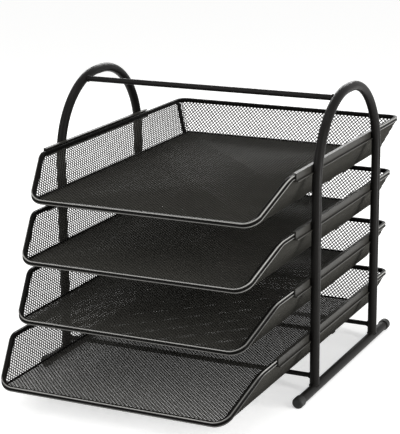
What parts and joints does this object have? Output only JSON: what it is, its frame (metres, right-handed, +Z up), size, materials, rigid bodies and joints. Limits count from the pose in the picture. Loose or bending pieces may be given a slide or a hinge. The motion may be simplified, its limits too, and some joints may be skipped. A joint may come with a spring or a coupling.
{
  "type": "mesh letter tray",
  "caption": "Desk letter tray: arched steel tube side frames carry a stack of open mesh trays with folded rims that slide forward on channel rails.",
  "frame": {"origin": "centre of the bounding box's bottom, on the surface that the foot caps stand on", "axes": "+Z up, -Y towards the trays' open front, +X to the right seen from the front"},
  "size_m": [0.304, 0.451, 0.308],
  "materials": {
    "frame_coat": "satin black powder coat",
    "rail_coat": "satin black powder coat on sheet steel",
    "tray_coat": "satin black powder coat on a folded hem",
    "mesh_coat": "satin black powder coat on mesh",
    "cap_plastic": "moulded black plastic"
  },
  "bodies": {
    "frame": {"left_arch": "frame_coat", "right_arch": "frame_coat", "left_foot_tube": "frame_coat", "right_foot_tube": "frame_coat", "left_front_cap": "cap_plastic", "left_rear_cap": "cap_plastic", "right_front_cap": "cap_plastic", "right_rear_cap": "cap_plastic", "top_cross_rod": "frame_coat", "front_low_rod": "frame_coat", "rear_low_rod": "frame_coat", "left_rail_1": "rail_coat", "right_rail_1": "rail_coat", "left_rail_2": "rail_coat", "right_rail_2": "rail_coat", "left_rail_3": "rail_coat", "right_rail_3": "rail_coat", "left_rail_4": "rail_coat", "right_rail_4": "rail_coat"},
    "tray_1": {"rim_1": "tray_coat", "floor_mesh_1": "mesh_coat", "left_mesh_1": "mesh_coat", "right_mesh_1": "mesh_coat", "back_mesh_1": "mesh_coat", "floor_bar_1": "tray_coat"},
    "tray_2": {"rim_2": "tray_coat", "floor_mesh_2": "mesh_coat", "left_mesh_2": "mesh_coat", "right_mesh_2": "mesh_coat", "back_mesh_2": "mesh_coat", "floor_bar_2": "tray_coat"},
    "tray_3": {"rim_3": "tray_coat", "floor_mesh_3": "mesh_coat", "left_mesh_3": "mesh_coat", "right_mesh_3": "mesh_coat", "back_mesh_3": "mesh_coat", "floor_bar_3": "tray_coat"},
    "tray_4": {"rim_4": "tray_coat", "floor_mesh_4": "mesh_coat", "left_mesh_4": "mesh_coat", "right_mesh_4": "mesh_coat", "back_mesh_4": "mesh_coat", "floor_bar_4": "tray_coat"}
  },
  "joints": [
    {"name": "tray_1_slide", "type": "slide", "parent": "frame", "child": "tray_1", "axis": [0, -1, 0], "range_m": [0, 0.2]},
    {"name": "tray_2_slide", "type": "slide", "parent": "frame", "child": "tray_2", "axis": [0, -1, 0], "range_m": [-0.021, 0.179]},
    {"name": "tray_3_slide", "type": "slide", "parent": "frame", "child": "tray_3", "axis": [0, -1, 0], "range_m": [-0.032, 0.168]},
    {"name": "tray_4_slide", "type": "slide", "parent": "frame", "child": "tray_4", "axis": [0, -1, 0], "range_m": [-0.027, 0.173]}
  ]
}
